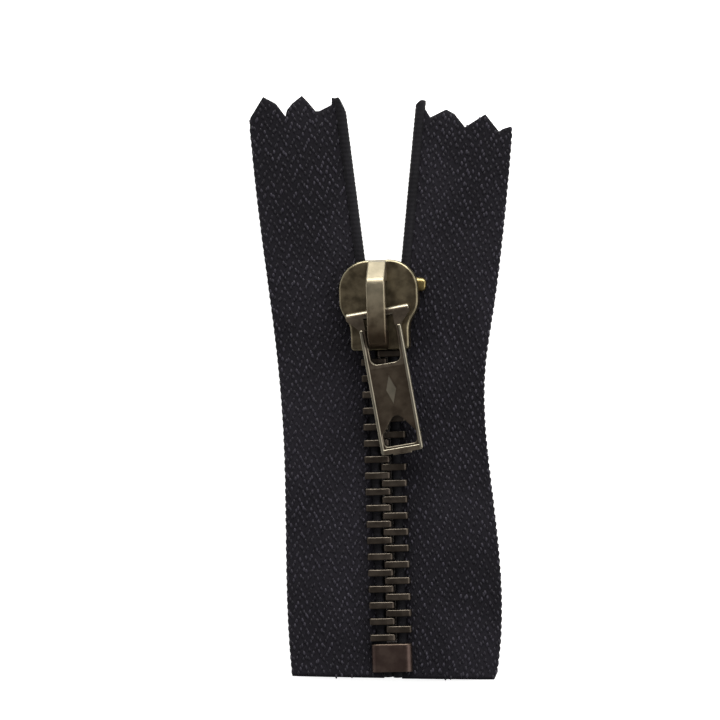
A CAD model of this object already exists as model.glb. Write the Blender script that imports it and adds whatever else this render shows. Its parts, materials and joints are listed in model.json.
"""Looks of a short closed-end metal zip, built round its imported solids.

Everything is in metres in the solids' own frame: +Y runs along the chain to the open end, and +Z comes out of
the front face.
"""

import json
import math

import bpy
import numpy as np
from mathutils import Matrix, Vector
from mathutils.bvhtree import BVHTree


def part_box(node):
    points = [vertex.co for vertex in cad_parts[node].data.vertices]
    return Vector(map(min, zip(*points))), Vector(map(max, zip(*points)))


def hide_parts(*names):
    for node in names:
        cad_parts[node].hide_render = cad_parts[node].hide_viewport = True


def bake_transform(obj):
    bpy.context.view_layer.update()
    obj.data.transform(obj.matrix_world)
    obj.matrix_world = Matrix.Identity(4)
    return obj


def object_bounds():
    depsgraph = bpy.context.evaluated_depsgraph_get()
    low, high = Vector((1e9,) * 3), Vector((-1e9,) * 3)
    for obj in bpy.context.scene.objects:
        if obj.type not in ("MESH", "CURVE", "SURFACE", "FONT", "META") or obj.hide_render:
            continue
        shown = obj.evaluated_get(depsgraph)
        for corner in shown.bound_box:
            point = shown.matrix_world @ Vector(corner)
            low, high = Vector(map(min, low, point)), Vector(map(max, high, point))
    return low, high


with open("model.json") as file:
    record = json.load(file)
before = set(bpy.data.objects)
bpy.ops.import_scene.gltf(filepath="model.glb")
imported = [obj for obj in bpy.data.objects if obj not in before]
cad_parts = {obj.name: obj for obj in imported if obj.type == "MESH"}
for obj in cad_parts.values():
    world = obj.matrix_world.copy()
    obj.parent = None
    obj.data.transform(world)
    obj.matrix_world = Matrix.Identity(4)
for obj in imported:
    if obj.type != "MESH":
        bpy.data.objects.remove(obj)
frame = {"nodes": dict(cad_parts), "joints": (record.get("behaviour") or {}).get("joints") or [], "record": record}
solid_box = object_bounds()

MM = 0.001
SIDES = {"left": -1, "right": 1}
SCENE = bpy.context.scene
JOINTS = {joint["name"]: joint for joint in frame["joints"]}

# Camera
VIEW_AT = Vector((-3.40, 3.37, 2.35)) * MM     # the middle of the view
VIEW_WIDE = 89.1 * MM       # width of the view there
VIEW_FAR = 0.35
NEAREST = 0.01
SENSOR = 36.0
CHAIN_LEAN = math.radians(1.9)                # the chain's lower end lies to the right by this much
VIEW_TILT = math.radians(8.0)                 # the camera stands this far over the zip's right side

# Light and table
WORLD_GREY = 0.30
PANELS = {                  # place, width and height in metres, watts, colour
    "key": ((0.08, 0.95, 0.50), (1.3, 0.6), 20.0, (1.0, 0.98, 0.95)),
    "left_fill": ((-0.85, 0.10, 0.45), (0.5, 0.5), 0.8, (1, 1, 1)),
    "right_fill": ((0.85, 0.05, 0.55), (0.9, 0.9), 6.0, (1, 1, 1)),
}
TABLE_HALF = 1.5
TABLE_WHITE = 0.93
TABLE_ROUGH = 0.9
GLOW = 0.65                 # the white table glows this much, but not under the chain
CHAIN_X = -0.55 * MM        # the chain's centre line
GLOW_OFF = (2.2 * MM, 1.2 * MM)               # the glow fades out between these distances from that line,
GLOW_FOOT = (3.0 * MM, 3.6 * MM)              # and between these distances above the tapes' foot

# Metal
DULL = 0.44                 # roughness of the metals that aren't polished
POLISHED = 0.38
PATCH_PITCH = 1.6 * MM
GRAIN_PITCH = 0.16 * MM
GRAIN_DEPTH = 0.018 * MM
ROUNDED = (0.975, 0.80)     # largest component of the facing: on a flat face, on a rounded edge
EDGE_RUB = (0.45, 0.75)     # how far an edge is rubbed everywhere, and how much more at a patch's middle
PATINA_RAMP = (0.30, 0.70)
SPECK_RAMP = (0.62, 0.85)   # the coarsest grain shows as small rubbed specks
SPECK_RUB = 0.30
PATCH_ROUGH, GRAIN_ROUGH, RUB_SMOOTH = 0.22, 0.10, 0.06
PATCH_RELIEF, GRAIN_RELIEF = 0.6, 0.4
FACES_UP_ZIP = (0.05, 0.5)
DARK_DIRT = (0.036, 0.022, 0.013)

# Crown, from its front or its rear end
CROWN_SLOPE = (3.2 * MM, 2.4 * MM)            # its polished front slope starts here, from the front end,
SLOPE_FACES = (0.2, 0.5)                      # where it faces up the zip this far
CROWN_TOP_REAR = 3.5 * MM
CROWN_TOP_FRONT = 2.8 * MM
CROWN_REAR = (5.5 * MM, 1.0 * MM)             # it darkens from the first of these to the second
SLOPE_RUB, TOP_RUB, REAR_DIRT = 0.36, 0.22, 0.88

# Places on the pull, from its cross bar's middle
PULL_LEAN = math.radians(8.0)
PANEL_HALF = 2.15 * MM
PANEL_RUN = (6.7 * MM, 16.65 * MM)
PANEL_BLUR = 0.08 * MM      # half the width over which the panel's patina fades at its sides
PANEL_END_BLUR = 0.1 * MM
LOZENGE = Vector((0.65, 1.80)) * MM           # its half width and half length
LOZENGE_AT = 9.5 * MM
LOZENGE_EDGE = (1.05, 0.85)                   # shares of its size between which its rubbing fades in
RIM_RUN = (1.7 * MM, 2.0 * MM)                # the rims' rubbing fades in between these
RIM_BLUR = 0.12 * MM
LOZENGE_RUB, RIM_RUB, PANEL_DIRT = 0.30, 0.42, 0.45

# Woven tape
TAPE_LONG = 72.0 * MM
TAPE_WIDE = 12.4 * MM
CORE_HALF = 0.14 * MM       # half the thickness of the cloth under its floating yarns
CLOTH_COLUMNS = 62
CLOTH_ROWS = 150
CORNER_CLEAR = 0.006        # share of the width that an even column keeps off a pinked corner
COLUMN = 0.265 * MM         # from one warp yarn to the next
PERIOD = 1.90 * MM          # along one yarn, from float to float
FLOAT_LONG = 0.60 * MM
FLOAT_WIDE = 0.30 * MM
FLOAT_HIGH = 0.25 * MM
FLOAT_STRAY = Vector((0.045, 0.20)) * MM      # how far a float may stray from its place
FLOAT_UNEVEN = 0.10         # and how much larger or smaller it may be
FLOAT_SEGMENTS = 6
FLOAT_BANDS = 4
TWILL = (1, 0, 3, 2, 0, 1, 2, 3)              # quarters of a period by which neighbouring yarns are stepped
FLOAT_TURN = math.radians(7)
EDGE_FREE = 0.25 * MM       # bare cloth at a cut end
SELVEDGE_PITCH = 0.90 * MM
SELVEDGE_SIZE = Vector((0.24, 0.80, 0.32)) * MM
SHEEN = 0.02
SHEEN_ROUGH = 0.5
CLOTH_PATCH = 9 * MM        # pitch of the cloth's patches of deeper black
FIBRE_PITCH = 0.07 * MM
FIBRE_DEPTH = 0.03 * MM
FIBRE_RAMP = (0.35, 0.75)
CLOTH_RAMP = (0.35, 0.65)
CLOTH_ROUGH = 0.12          # how much rougher those patches are
DEEPER = 0.7                # how bright they are beside the rest
BRIGHT_FLOAT = 1.35         # and the brightest float
TONE_RAMP = (0.30, 1.0)

# Feeling out a tape's solid
CLEAN_TOP = 5.5 * MM        # the tape's sides are plain up to this far below its top
CLEAN_FOOT = 1.5 * MM
PROBE_STEP = 0.5 * MM
SLOPE_STEPS = 4             # an edge runs on with its slope over this many steps
EDGE_SHARE = 0.003          # a ray keeps this share of the width inside either edge
CORNER_EDGE = 0.01          # corners nearer an edge than this share are the edge's own

# How the tape lies
SAG = 0.55 * MM             # the outer edge lies this much lower than the inner one
RIPPLE = 0.28 * MM
RIPPLES = (1.35, 2.9)       # waves along the tape, of the first ripple and the second
RIPPLE_START = (0.18, 0.3)
SECOND_RIPPLE = 0.5
RIPPLE_SKEW = 0.4           # how far the second ripple's crests run aslant

# Bead along the tape's inner edge
BEAD_RINGS = 0.14 * MM
BEAD_SPOKES = 16
BEAD_RIB = 0.56 * MM        # pitch of the binding yarn round the bead
BEAD_GROOVE = 0.045 * MM
BEAD_MARGIN = 0.20 * MM     # the bead's line is felt this far short of its ends, and run on straight
BEAD_SMOOTH = 9             # rings over which its line is evened out, an odd number
BEAD_CAP = (                # the rings that close its end: their size, and how far past the end they lie
    (0.8, 0.07 * MM), (0.45, 0.10 * MM), (0.02, 0.11 * MM))
BEAD_SLANT = {"left": 2.2, "right": 0.8}      # how steeply its upper end is cut away on the inner side
CUT_START = 0.15            # the cut starts this share of the radius to the outer side of the middle
STOP_GRIP = 2.6 * MM        # inside the bottom stop, over this length,
TOGETHER = 0.65 * MM        # each bead comes this far in, so that the two touch below it


# ---------------------------------------------------------------- finishes

class Number:
    """A number inside a finish. Arithmetic on it adds the Math nodes that work it out."""

    def __init__(self, finish, socket):
        self.finish = finish
        self.socket = socket

    def __add__(self, other):
        return self.finish.math("ADD", self, other)

    def __sub__(self, other):
        return self.finish.math("SUBTRACT", self, other)

    def __rsub__(self, other):
        return self.finish.math("SUBTRACT", other, self)

    def __mul__(self, other):
        return self.finish.math("MULTIPLY", self, other)

    def __truediv__(self, other):
        return self.finish.math("DIVIDE", self, other)

    def __abs__(self):
        return self.finish.math("ABSOLUTE", self)

    __radd__ = __add__
    __rmul__ = __mul__

    def larger(self, other):
        return self.finish.math("MAXIMUM", self, other)

    def between(self, low, high):
        """0 at low, 1 at high, smooth between them; low may be the larger."""
        ramp = self.finish.node("ShaderNodeMapRange", {"interpolation_type": "SMOOTHSTEP"}, {
            "Value": self, "From Min": low, "From Max": high})
        return Number(self.finish, ramp.outputs["Result"])


class Finish:
    """One material with a Principled shader, and the nodes that vary it."""

    def __init__(self, name, **plain):
        self.material = bpy.data.materials.new(name)
        self.material.use_nodes = True
        self.tree = self.material.node_tree
        self.tree.nodes.clear()
        self.shader = self.node("ShaderNodeBsdfPrincipled", {}, plain)
        out = self.node("ShaderNodeOutputMaterial", {}, {"Surface": self.shader.outputs[0]})
        out.is_active_output = True
        self.place = self.node("ShaderNodeTexCoord", {}, {})

    def node(self, kind, settings, values):
        """Adds a node: its settings first, then the values or links of its sockets, by name or number."""
        node = self.tree.nodes.new(kind)
        for name, value in settings.items():
            setattr(node, name, value)
        for key, value in values.items():
            socket = node.inputs[key]
            if isinstance(value, Number):
                value = value.socket
            if isinstance(value, bpy.types.NodeSocket):
                self.tree.links.new(value, socket)
            else:
                socket.default_value = value
        return node

    def math(self, operation, *terms):
        node = self.node("ShaderNodeMath", {"operation": operation}, dict(enumerate(terms)))
        return Number(self, node.outputs[0])

    def noise(self, pitch, stretch=(1, 1, 1), detail=2.0):
        """Noise whose lumps are about this far apart in metres, longer where stretch is larger."""
        scale = [1 / (pitch * s) for s in stretch]
        where = self.node("ShaderNodeMapping", {}, {
            "Vector": self.place.outputs["Object"], "Scale": scale})
        node = self.node("ShaderNodeTexNoise", {}, {
            "Vector": where.outputs[0], "Scale": 1.0, "Detail": detail, "Roughness": 0.55})
        return Number(self, node.outputs["Fac"])

    def axes(self, vector):
        """The three components of a vector."""
        node = self.node("ShaderNodeSeparateXYZ", {}, {0: vector})
        return [Number(self, socket) for socket in node.outputs]

    def blend(self, factor, one, other):
        """The colour between two colours."""
        node = self.node("ShaderNodeMix", {"data_type": "RGBA"}, {"Factor": factor})
        for socket, value in ((node.inputs[6], one), (node.inputs[7], other)):
            if isinstance(value, bpy.types.NodeSocket):
                self.tree.links.new(value, socket)
            else:
                socket.default_value = (*value, 1.0)
        return node.outputs[2]

    def use(self, socket, value):
        """Feeds one of the shader's own sockets."""
        if isinstance(value, Number):
            value = value.socket
        self.tree.links.new(value, self.shader.inputs[socket])

    def bump(self, height, depth):
        node = self.node("ShaderNodeBump", {}, {"Height": height, "Distance": depth, "Strength": 1.0})
        self.use("Normal", node.outputs[0])


def cloth_finish(name, deep, light, roughness, gloss):
    """Black dyed polyester yarn: nearly black, with a soft sheen and fine fibres along each yarn."""
    finish = Finish(name, **{
        "Sheen Weight": SHEEN, "Sheen Roughness": SHEEN_ROUGH, "Specular IOR Level": gloss})
    patches = finish.noise(CLOTH_PATCH, detail=1.0).between(*CLOTH_RAMP)
    fibres = finish.noise(FIBRE_PITCH, stretch=(1, 4, 1))
    body = finish.blend(fibres.between(*FIBRE_RAMP), deep, light)
    deeper = finish.blend(
        fibres.between(*FIBRE_RAMP), [DEEPER * c for c in deep], [DEEPER * c for c in light])
    finish.use("Base Color", finish.blend(patches, body, deeper))
    finish.use("Roughness", roughness + CLOTH_ROUGH * (patches - 0.5))
    finish.bump(fibres, FIBRE_DEPTH)
    return finish


def yarn_finish(name, deep, light, roughness, gloss):
    """The floating yarns: as the cloth, but each float has a tone of its own."""
    finish = cloth_finish(name, deep, light, roughness, gloss)
    tone = finish.node("ShaderNodeAttribute", {"attribute_name": "tone"}, {})
    tone = Number(finish, tone.outputs["Fac"])
    bright = [BRIGHT_FLOAT * c for c in light]
    base = finish.shader.inputs["Base Color"].links[0].from_socket
    finish.use("Base Color", finish.blend(tone.between(*TONE_RAMP), base, bright))
    return finish


def metal_finish(name, dark, mid, bare, wear=1.0, sides=0.3, turn=0.0, shade=None, roughness=POLISHED):
    """Antique brass: dark patina in soft patches, rubbed bare on rounded edges, most of all facing up the zip.

    sides is how much of the wear is left on the other edges, and turn is how far the piece is turned about Z.
    shade works out how far a place is rubbed besides and how far it is darkened. It is given the finish and
    how far the place faces up the zip.
    """
    finish = Finish(name, **{"Metallic": 1.0})
    facing = finish.node("ShaderNodeVectorRotate", {"rotation_type": "Z_AXIS"}, {
        "Vector": finish.place.outputs["Normal"], "Angle": -turn})
    x, y, z = finish.axes(facing.outputs[0])
    square = abs(x).larger(abs(y)).larger(abs(z))
    patches = finish.noise(PATCH_PITCH, detail=3.0)
    grain = finish.noise(GRAIN_PITCH, detail=3.0)
    left_on = sides + (1 - sides) * y.between(*FACES_UP_ZIP)
    rubbed = square.between(*ROUNDED) * wear * left_on * (EDGE_RUB[0] + EDGE_RUB[1] * patches)
    old = finish.blend(patches.between(*PATINA_RAMP), dark, mid)
    old = finish.blend(grain.between(*SPECK_RAMP) * SPECK_RUB, old, bare)
    if shade:
        more, dirt = shade(finish, y)
        rubbed = rubbed.larger(more) * (1 - dirt)
        old = finish.blend(dirt, old, DARK_DIRT)
    finish.use("Base Color", finish.blend(rubbed, old, bare))
    uneven = roughness + PATCH_ROUGH * (patches - 0.5) + GRAIN_ROUGH * (grain - 0.5)
    finish.use("Roughness", uneven - RUB_SMOOTH * rubbed)
    finish.bump(PATCH_RELIEF * patches + GRAIN_RELIEF * grain, GRAIN_DEPTH)
    return finish


# ---------------------------------------------------------------- the tapes

def pinch(y):
    """How far the bead and the tape's edge have come in towards the centre line at the foot."""
    low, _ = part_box("bottom_stop")
    share = np.clip((low.y + STOP_GRIP - y) / STOP_GRIP, 0, 1)
    return TOGETHER * share * share * (3 - 2 * share)


class Tape:
    """One tape's solid, felt out by rays: its two long edges, its pinked top and its cut foot."""

    def __init__(self, name):
        self.name = name
        self.way = SIDES[name]
        self.solid = frame["nodes"][f"{name}_tape"].data
        self.tree = BVHTree.FromPolygons(
            [v.co for v in self.solid.vertices], [p.vertices[:] for p in self.solid.polygons])
        self.low, self.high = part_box(f"{name}_tape")
        self.z = (self.low.z + self.high.z) / 2
        self.plain_foot = self.low.y + CLEAN_FOOT
        self.plain_top = self.high.y - CLEAN_TOP
        levels = np.arange(self.plain_foot, self.plain_top, PROBE_STEP)
        inner = np.array([self.side_at(y, self.way) for y in levels])
        outer = np.array([self.side_at(y, -self.way) for y in levels])
        self.levels = np.concatenate([[levels[0] - CLEAN_TOP], levels, [levels[-1] + 2 * CLEAN_TOP]])
        self.inner = self.run_on(levels, inner)
        self.outer = self.run_on(levels, outer)

    def side_at(self, y, way):
        """Where a ray across the tape first meets it, looking left (-1) or right (1)."""
        start = Vector((-way * TAPE_LONG, y, self.z))
        return self.tree.ray_cast(start, Vector((way, 0, 0)))[0].x

    @staticmethod
    def run_on(levels, places):
        """Adds a straight run-out at each end of an edge."""
        n = SLOPE_STEPS
        low = places[0] - (places[n] - places[0]) / (levels[n] - levels[0]) * CLEAN_TOP
        high = places[-1] + (places[-1] - places[-1 - n]) / (levels[-1] - levels[-1 - n]) * 2 * CLEAN_TOP
        return np.concatenate([[low], places, [high]])

    def lane(self, share, y):
        """Across the tape's solid: share 0 is the inner edge and 1 the outer one."""
        inner = np.interp(y, self.levels, self.inner)
        outer = np.interp(y, self.levels, self.outer)
        return inner + share * (outer - inner)

    def x(self, share, y):
        """Across the tape, with its inner edge following the bead below the bottom stop."""
        return self.lane(share, y) - self.way * (1 - share) * pinch(y)

    def lie(self, share, y):
        """Height of the cloth's middle: it falls away from the bead and ripples along its outer edge."""
        along = (np.asarray(y) - self.low.y) / TAPE_LONG
        share = np.asarray(share)
        first = np.sin(2 * math.pi * (RIPPLES[0] * along + RIPPLE_START[0] * self.way))
        second = np.sin(2 * math.pi * (RIPPLES[1] * along + RIPPLE_SKEW * share + RIPPLE_START[1] * self.way))
        wave = first + SECOND_RIPPLE * second
        return self.z - SAG * share ** 2 + RIPPLE * wave * share ** 1.5

    def ends(self, share):
        """(foot, top) of the line that runs along the tape at this share of its width."""
        cast = min(max(share, EDGE_SHARE), 1 - EDGE_SHARE)
        found = []
        foot = (self.low.y - CLEAN_FOOT, self.plain_foot)
        top = (self.high.y + CLEAN_FOOT, self.plain_top)
        for far, near in (foot, top):
            start = Vector((float(self.lane(cast, far)), far, self.z))
            stop = Vector((float(self.lane(cast, near)), near, self.z))
            hit = self.tree.ray_cast(start, (stop - start).normalized())[0]
            found.append(hit.y)
        return found

    def corner_shares(self):
        """Shares of the width at which the pinked end has its corners."""
        shares = set()
        for vertex in self.solid.vertices:
            x, y, _ = vertex.co
            if y > self.plain_top:
                inner, outer = self.lane(0, y), self.lane(1, y)
                shares.add(round(float((x - inner) / (outer - inner)), 3))
        return [s for s in sorted(shares) if CORNER_EDGE < s < 1 - CORNER_EDGE]


def new_piece(name, mesh):
    piece = bpy.data.objects.new(name, mesh)
    SCENE.collection.objects.link(piece)
    return piece


def smooth_piece(name, mesh, finish):
    """A piece of one finish, shaded smooth."""
    mesh.materials.append(finish.material)
    for polygon in mesh.polygons:
        polygon.use_smooth = True
    return new_piece(name, mesh)


def grid_mesh(name, points, closed=False):
    """A mesh of quads over rows of points, each row joined end to end if closed."""
    rows, columns = points.shape[:2]
    mesh = bpy.data.meshes.new(name)
    faces = []
    for i in range(rows - 1):
        for j in range(columns if closed else columns - 1):
            k = (j + 1) % columns
            faces.append((i * columns + j, i * columns + k, (i + 1) * columns + k, (i + 1) * columns + j))
    mesh.from_pydata(points.reshape(-1, 3).tolist(), [], faces)
    mesh.update()
    return mesh


def make_cloth(tape, finish):
    """The woven cloth itself, as one thin sheet cut to the tape's outline."""
    even = np.linspace(0, 1, CLOTH_COLUMNS)
    corners = tape.corner_shares()
    shares = sorted(corners + [s for s in even if all(abs(s - c) > CORNER_CLEAR for c in corners)])
    points = np.zeros((CLOTH_ROWS, len(shares), 3))
    for j, share in enumerate(shares):
        foot, top = tape.ends(share)
        y = np.linspace(foot, top, CLOTH_ROWS)
        points[:, j] = np.stack([tape.x(share, y), y, tape.lie(share, y)], axis=1)
    mesh = grid_mesh(f"{tape.name}_cloth", points)
    if tape.way < 0:
        mesh.flip_normals()
    piece = smooth_piece(f"{tape.name}_cloth", mesh, finish)
    thick = piece.modifiers.new("thickness", "SOLIDIFY")
    thick.thickness = 2 * CORE_HALF
    thick.offset = 0.0
    return piece


def float_sites(tape, seed):
    """Where a yarn comes to the surface, on both faces: places, turns about Z and sizes."""
    chance = np.random.default_rng(seed)
    places, turns, sizes = [], [], []
    columns = round(TAPE_WIDE / COLUMN)
    for i in range(columns):
        share = (i + 0.5) / columns
        foot, top = tape.ends(share)
        rank = i % len(TWILL)
        rising = rank >= len(TWILL) / 2
        y = np.arange(tape.low.y + TWILL[rank] / 4 * PERIOD, top - EDGE_FREE, PERIOD)
        y = y[y > foot + EDGE_FREE]
        slant = np.arctan2(tape.x(share, y + PERIOD) - tape.x(share, y), PERIOD)
        for face in (1, -1):
            z = tape.lie(share, y) + face * CORE_HALF
            stray = chance.uniform(-1, 1, (2, len(y)))
            places.append(np.stack([
                tape.x(share, y) + FLOAT_STRAY.x * stray[0], y + FLOAT_STRAY.y * stray[1], z], axis=1))
            turns.append(-slant + (FLOAT_TURN if rising else -FLOAT_TURN))
            sizes.append(np.tile((FLOAT_WIDE, FLOAT_LONG, FLOAT_HIGH), (len(y), 1)))
    foot, top = tape.ends(1.0)
    y = np.arange(foot + SELVEDGE_PITCH / 2, top - EDGE_FREE, SELVEDGE_PITCH)
    places.append(np.stack([tape.x(1.0, y), y, tape.lie(1.0, y)], axis=1))
    turns.append(np.full(len(y), -tape.way * FLOAT_TURN))
    sizes.append(np.tile(SELVEDGE_SIZE, (len(y), 1)))
    return np.concatenate(places), np.concatenate(turns), np.concatenate(sizes)


class Growth:
    """A Geometry Nodes tree under construction."""

    def __init__(self, name, inputs):
        self.tree = bpy.data.node_groups.new(name, "GeometryNodeTree")
        for label, kind in inputs.items():
            self.tree.interface.new_socket(label, in_out="INPUT", socket_type=kind)
        self.tree.interface.new_socket("Piece", in_out="OUTPUT", socket_type="NodeSocketGeometry")
        self.given = self.tree.nodes.new("NodeGroupInput").outputs

    def node(self, kind, settings, values):
        node = self.tree.nodes.new(kind)
        for name, value in settings.items():
            setattr(node, name, value)
        for key, value in values.items():
            if isinstance(value, bpy.types.NodeSocket):
                self.tree.links.new(value, node.inputs[key])
            else:
                node.inputs[key].default_value = value
        return node

    def finish(self, geometry):
        """Ends the tree: real meshes, smooth, in the given finish."""
        real = self.node("GeometryNodeRealizeInstances", {}, {"Geometry": geometry})
        smooth = self.node("GeometryNodeSetShadeSmooth", {}, {"Geometry": real.outputs[0]})
        painted = self.node("GeometryNodeSetMaterial", {}, {
            "Geometry": smooth.outputs[0], "Material": self.given["Finish"]})
        self.node("NodeGroupOutput", {}, {0: painted.outputs[0]})
        return self.tree


def float_tree():
    """Puts a yarn float on every site, each a little different in size and tone."""
    growth = Growth("yarn_floats", {
        "Sites": "NodeSocketGeometry", "Uneven": "NodeSocketFloat", "Seed": "NodeSocketInt",
        "Finish": "NodeSocketMaterial"})
    ball = growth.node("GeometryNodeMeshUVSphere", {}, {
        "Segments": FLOAT_SEGMENTS, "Rings": FLOAT_BANDS, "Radius": 0.5})
    turn = growth.node("GeometryNodeInputNamedAttribute", {"data_type": "FLOAT"}, {"Name": "turn"})
    size = growth.node("GeometryNodeInputNamedAttribute", {"data_type": "FLOAT_VECTOR"}, {"Name": "size"})
    angle = growth.node("ShaderNodeCombineXYZ", {}, {"Z": turn.outputs["Attribute"]})
    least = growth.node("ShaderNodeMath", {"operation": "SUBTRACT"}, {0: 1.0, 1: growth.given["Uneven"]})
    most = growth.node("ShaderNodeMath", {"operation": "ADD"}, {0: 1.0, 1: growth.given["Uneven"]})
    spread = growth.node("FunctionNodeRandomValue", {"data_type": "FLOAT"}, {
        2: least.outputs[0], 3: most.outputs[0], "Seed": growth.given["Seed"]})
    scale = growth.node("ShaderNodeVectorMath", {"operation": "SCALE"}, {
        0: size.outputs["Attribute"], "Scale": spread.outputs[1]})
    floats = growth.node("GeometryNodeInstanceOnPoints", {}, {
        "Points": growth.given["Sites"], "Instance": ball.outputs["Mesh"],
        "Rotation": angle.outputs[0], "Scale": scale.outputs[0]})
    chance = growth.node("FunctionNodeRandomValue", {"data_type": "FLOAT"}, {"Seed": growth.given["Seed"]})
    toned = growth.node("GeometryNodeStoreNamedAttribute", {"data_type": "FLOAT", "domain": "INSTANCE"}, {
        "Geometry": floats.outputs[0], "Name": "tone", "Value": chance.outputs[1]})
    return growth.finish(toned.outputs[0])


def grown(name, mesh, tree, inputs):
    """A plain mesh piece: what a tree grows from a mesh."""
    piece = new_piece(name, mesh)
    modifier = piece.modifiers.new("grow", "NODES")
    modifier.node_group = tree
    for item in tree.interface.items_tree:
        if item.in_out == "INPUT" and item.name in inputs:
            modifier[item.identifier] = inputs[item.name]
    graph = bpy.context.evaluated_depsgraph_get()
    result = bpy.data.meshes.new_from_object(
        piece.evaluated_get(graph), preserve_all_data_layers=True, depsgraph=graph)
    piece.modifiers.clear()
    piece.data = result
    return piece


def make_floats(tape, tree, finish, seed):
    """The floating yarns of both faces and the loops of the selvedge."""
    places, turns, sizes = float_sites(tape, seed)
    sites = bpy.data.meshes.new(f"{tape.name}_sites")
    sites.from_pydata(places.tolist(), [], [])
    sites.attributes.new("turn", "FLOAT", "POINT").data.foreach_set("value", turns)
    sites.attributes.new("size", "FLOAT_VECTOR", "POINT").data.foreach_set("vector", sizes.ravel())
    return grown(f"{tape.name}_yarns", sites, tree, {
        "Uneven": FLOAT_UNEVEN, "Seed": seed, "Finish": finish.material})


# ---------------------------------------------------------------- the beads

def bead_line(name):
    """Middle line of one bead, read from its solid, with the bead's radius."""
    way = SIDES[name]
    node = frame["nodes"][f"{name}_cord"].data
    tree = BVHTree.FromPolygons([v.co for v in node.vertices], [p.vertices[:] for p in node.polygons])
    low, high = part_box(f"{name}_cord")
    z = (low.z + high.z) / 2
    radius = (high.z - low.z) / 2
    levels = np.arange(low.y + BEAD_MARGIN, high.y - BEAD_MARGIN, BEAD_RINGS)
    across = Vector((way, 0, 0))
    faces = np.array([tree.ray_cast(Vector((-way * TAPE_LONG, y, z)), across)[0].x for y in levels])
    window = np.ones(BEAD_SMOOTH) / BEAD_SMOOTH
    smooth = np.convolve(np.pad(faces, BEAD_SMOOTH // 2, mode="edge"), window, mode="valid")
    slope = np.gradient(smooth, levels)
    slant = np.arctan(slope)
    x = faces + way * (radius * np.cos(slant) - pinch(levels))
    y = levels - way * radius * np.sin(slant)
    keep = np.maximum.accumulate(y) == y
    x, y, slant = x[keep], y[keep], slant[keep]
    run = BEAD_MARGIN + BEAD_RINGS
    x = np.append(x, x[-1] + run * math.tan(slant[-1]))
    return x, np.append(y, y[-1] + run), z, radius, np.append(slant, slant[-1])


def cut_end(rings, slope, way, radius):
    """Cuts the bead's upper end: square over its outer half, falling away at a slope over its inner half."""
    end = rings[-1].mean(axis=0)
    for ring in rings:
        inward = -way * (ring[:, 0] - end[0]) + CUT_START * radius
        ring[:, 1] = np.minimum(ring[:, 1], end[1] - slope * np.maximum(inward, 0))
    return rings


def make_bead(name, finish):
    """The thick corded edge, bound by a yarn that winds round it."""
    x, y, z, radius, slant = bead_line(name)
    spokes = np.arange(BEAD_SPOKES) * 2 * math.pi / BEAD_SPOKES
    rings = []
    for px, py, angle in zip(x, y, slant):
        wind = 2 * math.pi * py / BEAD_RIB + SIDES[name] * spokes
        reach = radius - BEAD_GROOVE * (0.5 - 0.5 * np.cos(wind))
        out = reach * np.cos(spokes)
        rings.append(np.stack([
            px + out * math.cos(angle), py - out * math.sin(angle), z + reach * np.sin(spokes)], axis=1))
    for end, step in ((0, -1), (-1, 1)):
        ring = rings[end]
        middle = ring.mean(axis=0)
        cap = [middle + (ring - middle) * size + np.array([0, step * past, 0]) for size, past in BEAD_CAP]
        rings = cap[::-1] + rings if end == 0 else rings + cap
    rings = cut_end(rings, BEAD_SLANT[name], SIDES[name], radius)
    mesh = grid_mesh(f"{name}_bead", np.array(rings), closed=True)
    mesh.flip_normals()
    return smooth_piece(f"{name}_bead", mesh, finish)


# ---------------------------------------------------------------- the scene

def make_camera():
    right = Vector((math.cos(CHAIN_LEAN), -math.sin(CHAIN_LEAN), 0))
    up = Vector((math.sin(CHAIN_LEAN), math.cos(CHAIN_LEAN), 0))
    back = math.sin(VIEW_TILT) * right + math.cos(VIEW_TILT) * Vector((0, 0, 1))
    across = up.cross(back)
    camera = bpy.data.objects.new("camera", bpy.data.cameras.new("camera"))
    SCENE.collection.objects.link(camera)
    camera.data.sensor_width = SENSOR
    camera.data.lens = SENSOR * VIEW_FAR / VIEW_WIDE
    camera.data.clip_start = NEAREST
    turn = Matrix((across, up, back)).transposed().to_4x4()
    camera.matrix_world = Matrix.Translation(VIEW_AT + VIEW_FAR * back) @ turn
    SCENE.camera = camera


def make_light(name, place, size, power, colour):
    """A soft panel of light, turned towards the zip."""
    light = bpy.data.lights.new(name, "AREA")
    light.shape = "RECTANGLE"
    light.size, light.size_y = size
    light.energy = power
    light.color = colour
    panel = bpy.data.objects.new(name, light)
    SCENE.collection.objects.link(panel)
    panel.location = place
    panel.rotation_euler = (-Vector(place)).to_track_quat("-Z", "Y").to_euler()


def make_studio():
    world = bpy.data.worlds.new("studio")
    world.use_nodes = True
    world.node_tree.nodes["Background"].inputs["Color"].default_value = (WORLD_GREY,) * 3 + (1,)
    SCENE.world = world
    SCENE.view_settings.view_transform = "Standard"
    for name, panel in PANELS.items():
        make_light(name, *panel)
    make_table()


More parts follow.
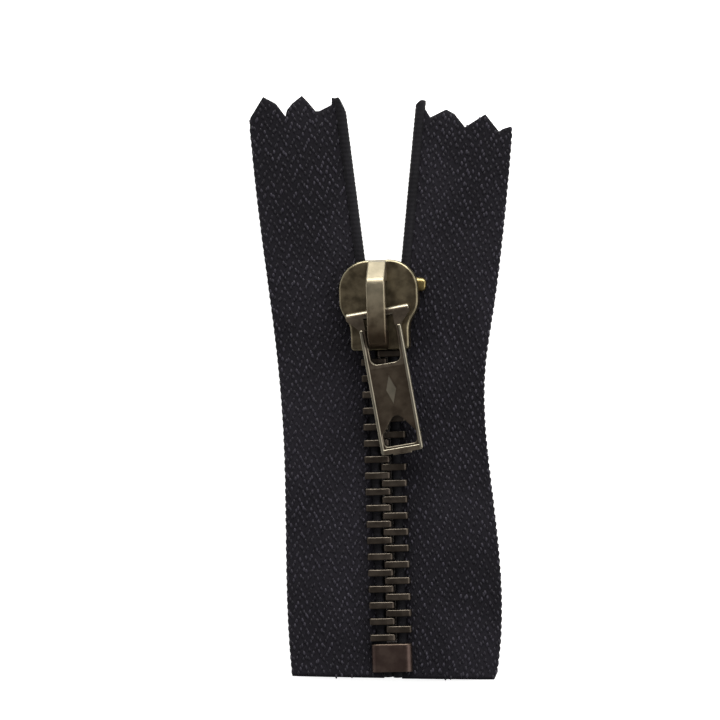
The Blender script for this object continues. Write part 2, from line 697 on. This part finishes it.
def make_table():
    """A plain white table top. It glows a little, but not under the chain between the foot and the slider."""
    finish = Finish("floor_white", **{
        "Base Color": (TABLE_WHITE, TABLE_WHITE, TABLE_WHITE, 1),
        "Roughness": TABLE_ROUGH, "Emission Strength": 1.0})
    across, along, _ = finish.axes(finish.place.outputs["Object"])
    foot = solid_box[0].y
    slider_low, slider_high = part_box("slider_body")
    chain = abs(across - CHAIN_X).between(*GLOW_OFF) * along.between(
        *(foot + far for far in GLOW_FOOT)) * along.between(slider_high.y, slider_low.y)
    finish.use("Emission Color", finish.blend(chain, (GLOW,) * 3, (0, 0, 0)))
    half = TABLE_HALF
    corners = [(-half, -half, 0), (half, -half, 0), (half, half, 0), (-half, half, 0)]
    floor = bpy.data.meshes.new("floor")
    floor.from_pydata(corners, [], [(0, 1, 2, 3)])
    floor.materials.append(finish.material)
    return new_piece("floor", floor)


def shade_crown(finish, up_zip):
    """The crown's front slope is polished by the thumb, and its rear end is dull and dark."""
    _, along, _ = finish.axes(finish.place.outputs["Object"])
    low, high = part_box("slider_crown")
    start, end = CROWN_SLOPE
    slope = along.between(high.y - start, high.y - end) * up_zip.between(*SLOPE_FACES) * SLOPE_RUB
    top = along.between(low.y + CROWN_TOP_REAR, high.y - CROWN_TOP_FRONT) * TOP_RUB
    start, end = CROWN_REAR
    rear = along.between(low.y + start, low.y + end) * REAR_DIRT
    return slope.larger(top), rear


def shade_pull(finish, _):
    """The pull's sunk panel has kept its dark patina, and the lozenge on it is lightly rubbed."""
    bar = JOINTS["pull_flip"]["pos_m"]
    turned = finish.node("ShaderNodeVectorRotate", {"rotation_type": "Z_AXIS"}, {
        "Vector": finish.place.outputs["Object"], "Center": bar, "Angle": -PULL_LEAN})
    across, along, _ = finish.axes(turned.outputs[0])
    off = abs(across - bar[0])
    down = bar[1] - along
    start, end = PANEL_RUN
    blur = PANEL_END_BLUR
    panel = off.between(PANEL_HALF + PANEL_BLUR, PANEL_HALF - PANEL_BLUR) * down.between(
        start - blur, start + blur) * down.between(end + blur, end - blur)
    lozenge = (off / LOZENGE.x + abs(down - LOZENGE_AT) / LOZENGE.y).between(*LOZENGE_EDGE)
    rim = off.between(PANEL_HALF, PANEL_HALF + RIM_BLUR) * down.between(*RIM_RUN)
    return (LOZENGE_RUB * lozenge).larger(RIM_RUB * rim), PANEL_DIRT * panel * (1 - lozenge)


def finish_metals():
    """Gives each packed metal piece its finish, by its material slot."""
    finishes = {
        "tooth_brass": metal_finish(
            "tooth_brass", (0.044, 0.035, 0.028), (0.077, 0.0625, 0.050), (0.27, 0.243, 0.198),
            wear=0.52, sides=0.0, roughness=DULL),
        "bottom_stop_metal": metal_finish(
            "bottom_stop_metal", (0.062, 0.041, 0.035), (0.088, 0.062, 0.052), (0.18, 0.165, 0.115),
            wear=0.29, sides=0.0, roughness=DULL),
        "top_stop_brass": metal_finish(
            "top_stop_brass", (0.15, 0.11, 0.042), (0.26, 0.20, 0.082), (0.42, 0.36, 0.18), wear=0.7),
        "slider_brass": metal_finish(
            "slider_brass", (0.074, 0.058, 0.037), (0.175, 0.142, 0.090), (0.38, 0.35, 0.235)),
        "crown_brass": metal_finish(
            "crown_brass", (0.12, 0.096, 0.064), (0.228, 0.188, 0.130), (0.56, 0.52, 0.38),
            wear=0.34, shade=shade_crown, roughness=DULL),
        "pull_brass": metal_finish(
            "pull_brass", (0.10, 0.078, 0.058), (0.18, 0.145, 0.108), (0.42, 0.40, 0.31),
            turn=PULL_LEAN, shade=shade_pull),
        "spring_steel": metal_finish(
            "spring_steel", (0.20, 0.19, 0.18), (0.42, 0.41, 0.40), (0.7, 0.7, 0.7)),
    }
    for row in frame["record"]["subparts"]:
        if row["material_slot"] in finishes:
            node = frame["nodes"][row["node"]]
            node.data.materials.clear()
            node.data.materials.append(finishes[row["material_slot"]].material)


def make_soft_parts():
    """The two tapes, each a sheet of cloth with its floating yarns and its bead, bent at its side's hinge."""
    cloth = cloth_finish(
        "tape_cloth", (0.006, 0.0053, 0.0078), (0.014, 0.0126, 0.0175), roughness=0.80, gloss=0.14)
    yarn = yarn_finish(
        "tape_yarn", (0.0105, 0.0093, 0.0133), (0.0205, 0.0185, 0.0254), roughness=0.38, gloss=0.19)
    bead = cloth_finish(
        "bead_cord", (0.005, 0.0045, 0.006), (0.011, 0.0102, 0.0132), roughness=0.70, gloss=0.14)
    tree = float_tree()
    for seed, name in enumerate(SIDES, 1):
        tape = Tape(name)
        sheet = make_cloth(tape, cloth)
        yarns = make_floats(tape, tree, yarn, seed)
        cord = make_bead(name, bead)
        for piece in (sheet, yarns, cord):
            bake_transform(piece)
        for piece in (sheet, yarns):
            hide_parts(f"{name}_tape")
        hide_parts(f"{name}_cord")


make_camera()
make_studio()
finish_metals()
make_soft_parts()
